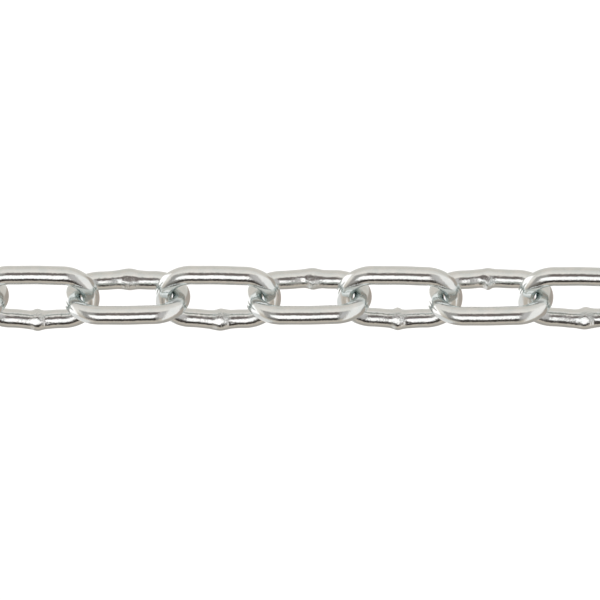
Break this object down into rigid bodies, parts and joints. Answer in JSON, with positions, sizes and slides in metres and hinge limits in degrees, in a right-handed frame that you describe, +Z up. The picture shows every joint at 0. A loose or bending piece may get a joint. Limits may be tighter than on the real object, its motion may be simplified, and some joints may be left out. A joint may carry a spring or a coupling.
{
  "type": "steel chain",
  "caption": "Length of short-link, side-welded steel chain with bright zinc plating, drawn out straight on a level floor.",
  "frame": {"origin": "on the floor, under the middle of the chain's middle link", "axes": "+X along the chain, +Z up, +Y across it so that the frame is right-handed"},
  "size_m": [1.0146, 0.0147, 0.014],
  "materials": {
    "zinc_plated_steel": "bright zinc plating, drawn wire with fine die lines"
  },
  "bodies": {
    "link_01": {"link_01": "zinc_plated_steel"},
    "link_02": {"link_02": "zinc_plated_steel"},
    "link_03": {"link_03": "zinc_plated_steel"},
    "link_04": {"link_04": "zinc_plated_steel"},
    "link_05": {"link_05": "zinc_plated_steel"},
    "link_06": {"link_06": "zinc_plated_steel"},
    "link_07": {"link_07": "zinc_plated_steel"},
    "link_08": {"link_08": "zinc_plated_steel"},
    "link_09": {"link_09": "zinc_plated_steel"},
    "link_10": {"link_10": "zinc_plated_steel"},
    "link_11": {"link_11": "zinc_plated_steel"},
    "link_12": {"link_12": "zinc_plated_steel"},
    "link_13": {"link_13": "zinc_plated_steel"},
    "link_14": {"link_14": "zinc_plated_steel"},
    "link_15": {"link_15": "zinc_plated_steel"},
    "link_16": {"link_16": "zinc_plated_steel"},
    "link_17": {"link_17": "zinc_plated_steel"},
    "link_18": {"link_18": "zinc_plated_steel"},
    "link_19": {"link_19": "zinc_plated_steel"},
    "link_20": {"link_20": "zinc_plated_steel"},
    "link_21": {"link_21": "zinc_plated_steel"},
    "link_22": {"link_22": "zinc_plated_steel"},
    "link_23": {"link_23": "zinc_plated_steel"},
    "link_24": {"link_24": "zinc_plated_steel"},
    "link_25": {"link_25": "zinc_plated_steel"},
    "link_26": {"link_26": "zinc_plated_steel"},
    "link_27": {"link_27": "zinc_plated_steel"},
    "link_28": {"link_28": "zinc_plated_steel"},
    "link_29": {"link_29": "zinc_plated_steel"},
    "link_30": {"link_30": "zinc_plated_steel"},
    "link_31": {"link_31": "zinc_plated_steel"},
    "link_32": {"link_32": "zinc_plated_steel"},
    "link_33": {"link_33": "zinc_plated_steel"},
    "link_34": {"link_34": "zinc_plated_steel"},
    "link_35": {"link_35": "zinc_plated_steel"},
    "link_36": {"link_36": "zinc_plated_steel"},
    "link_37": {"link_37": "zinc_plated_steel"},
    "link_38": {"link_38": "zinc_plated_steel"},
    "link_39": {"link_39": "zinc_plated_steel"},
    "link_40": {"link_40": "zinc_plated_steel"},
    "link_41": {"link_41": "zinc_plated_steel"},
    "link_42": {"link_42": "zinc_plated_steel"},
    "link_43": {"link_43": "zinc_plated_steel"},
    "link_44": {"link_44": "zinc_plated_steel"},
    "link_45": {"link_45": "zinc_plated_steel"},
    "link_46": {"link_46": "zinc_plated_steel"},
    "link_47": {"link_47": "zinc_plated_steel"},
    "link_48": {"link_48": "zinc_plated_steel"},
    "link_49": {"link_49": "zinc_plated_steel"},
    "link_50": {"link_50": "zinc_plated_steel"},
    "link_51": {"link_51": "zinc_plated_steel"},
    "link_52": {"link_52": "zinc_plated_steel"},
    "link_53": {"link_53": "zinc_plated_steel"}
  },
  "joints": [
    {"name": "link_28_swing", "type": "hinge", "parent": "link_27", "child": "link_28", "pos_m": [0.01147, 0, 0.00726], "axis": [0, -0.6491, 0.7607], "range_deg": [-90, 90]},
    {"name": "link_29_swing", "type": "hinge", "parent": "link_28", "child": "link_29", "pos_m": [0.03047, 0, 0.0067], "axis": [0, 0.7496, 0.6619], "range_deg": [-90, 90]},
    {"name": "link_30_swing", "type": "hinge", "parent": "link_29", "child": "link_30", "pos_m": [0.04947, 0, 0.00711], "axis": [0, 0.6762, -0.7367], "range_deg": [-90, 90]},
    {"name": "link_31_swing", "type": "hinge", "parent": "link_30", "child": "link_31", "pos_m": [0.06847, 0, 0.00663], "axis": [0, -0.7223, -0.6915], "range_deg": [-90, 90]},
    {"name": "link_32_swing", "type": "hinge", "parent": "link_31", "child": "link_32", "pos_m": [0.08747, 0, 0.0069], "axis": [0, -0.7071, 0.7071], "range_deg": [-90, 90]},
    {"name": "link_33_swing", "type": "hinge", "parent": "link_32", "child": "link_33", "pos_m": [0.10647, 0, 0.00679], "axis": [0, 0.6915, 0.7223], "range_deg": [-90, 90]},
    {"name": "link_34_swing", "type": "hinge", "parent": "link_33", "child": "link_34", "pos_m": [0.12547, 0, 0.00671], "axis": [0, 0.7367, -0.6762], "range_deg": [-90, 90]},
    {"name": "link_35_swing", "type": "hinge", "parent": "link_34", "child": "link_35", "pos_m": [0.14447, 0, 0.00701], "axis": [0, -0.6619, -0.7496], "range_deg": [-90, 90]},
    {"name": "link_36_swing", "type": "hinge", "parent": "link_35", "child": "link_36", "pos_m": [0.16347, 0, 0.00661], "axis": [0, -0.7607, 0.6491], "range_deg": [-90, 90]},
    {"name": "link_37_swing", "type": "hinge", "parent": "link_36", "child": "link_37", "pos_m": [0.18247, 0, 0.0072], "axis": [0, 0.6385, 0.7696], "range_deg": [-90, 90]},
    {"name": "link_38_swing", "type": "hinge", "parent": "link_37", "child": "link_38", "pos_m": [0.20147, 0, 0.00676], "axis": [0, 0.7762, -0.6305], "range_deg": [-90, 90]},
    {"name": "link_39_swing", "type": "hinge", "parent": "link_38", "child": "link_39", "pos_m": [0.22047, 0, 0.00731], "axis": [0, -0.6256, -0.7802], "range_deg": [-90, 90]},
    {"name": "link_40_swing", "type": "hinge", "parent": "link_39", "child": "link_40", "pos_m": [0.23947, 0, 0.00684], "axis": [0, -0.7815, 0.6239], "range_deg": [-90, 90]},
    {"name": "link_41_swing", "type": "hinge", "parent": "link_40", "child": "link_41", "pos_m": [0.25847, 0, 0.00735], "axis": [0, 0.6256, 0.7802], "range_deg": [-90, 90]},
    {"name": "link_42_swing", "type": "hinge", "parent": "link_41", "child": "link_42", "pos_m": [0.27747, 0, 0.00684], "axis": [0, 0.7762, -0.6305], "range_deg": [-90, 90]},
    {"name": "link_43_swing", "type": "hinge", "parent": "link_42", "child": "link_43", "pos_m": [0.29647, 0, 0.00731], "axis": [0, -0.6385, -0.7696], "range_deg": [-90, 90]},
    {"name": "link_44_swing", "type": "hinge", "parent": "link_43", "child": "link_44", "pos_m": [0.31547, 0, 0.00676], "axis": [0, -0.7607, 0.6491], "range_deg": [-90, 90]},
    {"name": "link_45_swing", "type": "hinge", "parent": "link_44", "child": "link_45", "pos_m": [0.33447, 0, 0.0072], "axis": [0, 0.6619, 0.7496], "range_deg": [-90, 90]},
    {"name": "link_46_swing", "type": "hinge", "parent": "link_45", "child": "link_46", "pos_m": [0.35347, 0, 0.00661], "axis": [0, 0.7367, -0.6762], "range_deg": [-90, 90]},
    {"name": "link_47_swing", "type": "hinge", "parent": "link_46", "child": "link_47", "pos_m": [0.37247, 0, 0.00701], "axis": [0, -0.6915, -0.7223], "range_deg": [-90, 90]},
    {"name": "link_48_swing", "type": "hinge", "parent": "link_47", "child": "link_48", "pos_m": [0.39147, 0, 0.00671], "axis": [0, -0.7071, 0.7071], "range_deg": [-90, 90]},
    {"name": "link_49_swing", "type": "hinge", "parent": "link_48", "child": "link_49", "pos_m": [0.41047, 0, 0.00679], "axis": [0, 0.7223, 0.6915], "range_deg": [-90, 90]},
    {"name": "link_50_swing", "type": "hinge", "parent": "link_49", "child": "link_50", "pos_m": [0.42947, 0, 0.0069], "axis": [0, 0.6762, -0.7367], "range_deg": [-90, 90]},
    {"name": "link_51_swing", "type": "hinge", "parent": "link_50", "child": "link_51", "pos_m": [0.44847, 0, 0.00663], "axis": [0, -0.7496, -0.6619], "range_deg": [-90, 90]},
    {"name": "link_52_swing", "type": "hinge", "parent": "link_51", "child": "link_52", "pos_m": [0.46747, 0, 0.00711], "axis": [0, -0.6491, 0.7607], "range_deg": [-90, 90]},
    {"name": "link_53_swing", "type": "hinge", "parent": "link_52", "child": "link_53", "pos_m": [0.48647, 0, 0.0067], "axis": [0, 0.7696, 0.6385], "range_deg": [-90, 90]},
    {"name": "link_26_swing", "type": "hinge", "parent": "link_27", "child": "link_26", "pos_m": [-0.01147, 0, 0.00726], "axis": [0, 0.6305, -0.7762], "range_deg": [-90, 90]},
    {"name": "link_25_swing", "type": "hinge", "parent": "link_26", "child": "link_25", "pos_m": [-0.03047, 0, 0.00681], "axis": [0, 0.7802, 0.6256], "range_deg": [-90, 90]},
    {"name": "link_24_swing", "type": "hinge", "parent": "link_25", "child": "link_24", "pos_m": [-0.04947, 0, 0.00734], "axis": [0, -0.6239, 0.7815], "range_deg": [-90, 90]},
    {"name": "link_23_swing", "type": "hinge", "parent": "link_24", "child": "link_23", "pos_m": [-0.06847, 0, 0.00685], "axis": [0, -0.7802, -0.6256], "range_deg": [-90, 90]},
    {"name": "link_22_swing", "type": "hinge", "parent": "link_23", "child": "link_22", "pos_m": [-0.08747, 0, 0.00734], "axis": [0, 0.6305, -0.7762], "range_deg": [-90, 90]},
    {"name": "link_21_swing", "type": "hinge", "parent": "link_22", "child": "link_21", "pos_m": [-0.10647, 0, 0.00681], "axis": [0, 0.7696, 0.6385], "range_deg": [-90, 90]},
    {"name": "link_20_swing", "type": "hinge", "parent": "link_21", "child": "link_20", "pos_m": [-0.12547, 0, 0.00726], "axis": [0, -0.6491, 0.7607], "range_deg": [-90, 90]},
    {"name": "link_19_swing", "type": "hinge", "parent": "link_20", "child": "link_19", "pos_m": [-0.14447, 0, 0.0067], "axis": [0, -0.7496, -0.6619], "range_deg": [-90, 90]},
    {"name": "link_18_swing", "type": "hinge", "parent": "link_19", "child": "link_18", "pos_m": [-0.16347, 0, 0.00711], "axis": [0, 0.6762, -0.7367], "range_deg": [-90, 90]},
    {"name": "link_17_swing", "type": "hinge", "parent": "link_18", "child": "link_17", "pos_m": [-0.18247, 0, 0.00663], "axis": [0, 0.7223, 0.6915], "range_deg": [-90, 90]},
    {"name": "link_16_swing", "type": "hinge", "parent": "link_17", "child": "link_16", "pos_m": [-0.20147, 0, 0.0069], "axis": [0, -0.7071, 0.7071], "range_deg": [-90, 90]},
    {"name": "link_15_swing", "type": "hinge", "parent": "link_16", "child": "link_15", "pos_m": [-0.22047, 0, 0.00679], "axis": [0, -0.6915, -0.7223], "range_deg": [-90, 90]},
    {"name": "link_14_swing", "type": "hinge", "parent": "link_15", "child": "link_14", "pos_m": [-0.23947, 0, 0.00671], "axis": [0, 0.7367, -0.6762], "range_deg": [-90, 90]},
    {"name": "link_13_swing", "type": "hinge", "parent": "link_14", "child": "link_13", "pos_m": [-0.25847, 0, 0.00701], "axis": [0, 0.6619, 0.7496], "range_deg": [-90, 90]},
    {"name": "link_12_swing", "type": "hinge", "parent": "link_13", "child": "link_12", "pos_m": [-0.27747, 0, 0.00661], "axis": [0, -0.7607, 0.6491], "range_deg": [-90, 90]},
    {"name": "link_11_swing", "type": "hinge", "parent": "link_12", "child": "link_11", "pos_m": [-0.29647, 0, 0.0072], "axis": [0, -0.6385, -0.7696], "range_deg": [-90, 90]},
    {"name": "link_10_swing", "type": "hinge", "parent": "link_11", "child": "link_10", "pos_m": [-0.31547, 0, 0.00676], "axis": [0, 0.7762, -0.6305], "range_deg": [-90, 90]},
    {"name": "link_09_swing", "type": "hinge", "parent": "link_10", "child": "link_09", "pos_m": [-0.33447, 0, 0.00731], "axis": [0, 0.6256, 0.7802], "range_deg": [-90, 90]},
    {"name": "link_08_swing", "type": "hinge", "parent": "link_09", "child": "link_08", "pos_m": [-0.35347, 0, 0.00684], "axis": [0, -0.7815, 0.6239], "range_deg": [-90, 90]},
    {"name": "link_07_swing", "type": "hinge", "parent": "link_08", "child": "link_07", "pos_m": [-0.37247, 0, 0.00735], "axis": [0, -0.6256, -0.7802], "range_deg": [-90, 90]},
    {"name": "link_06_swing", "type": "hinge", "parent": "link_07", "child": "link_06", "pos_m": [-0.39147, 0, 0.00684], "axis": [0, 0.7762, -0.6305], "range_deg": [-90, 90]},
    {"name": "link_05_swing", "type": "hinge", "parent": "link_06", "child": "link_05", "pos_m": [-0.41047, 0, 0.00731], "axis": [0, 0.6385, 0.7696], "range_deg": [-90, 90]},
    {"name": "link_04_swing", "type": "hinge", "parent": "link_05", "child": "link_04", "pos_m": [-0.42947, 0, 0.00676], "axis": [0, -0.7607, 0.6491], "range_deg": [-90, 90]},
    {"name": "link_03_swing", "type": "hinge", "parent": "link_04", "child": "link_03", "pos_m": [-0.44847, 0, 0.0072], "axis": [0, -0.6619, -0.7496], "range_deg": [-90, 90]},
    {"name": "link_02_swing", "type": "hinge", "parent": "link_03", "child": "link_02", "pos_m": [-0.46747, 0, 0.00661], "axis": [0, 0.7367, -0.6762], "range_deg": [-90, 90]},
    {"name": "link_01_swing", "type": "hinge", "parent": "link_02", "child": "link_01", "pos_m": [-0.48647, 0, 0.00701], "axis": [0, 0.6915, 0.7223], "range_deg": [-90, 90]}
  ]
}
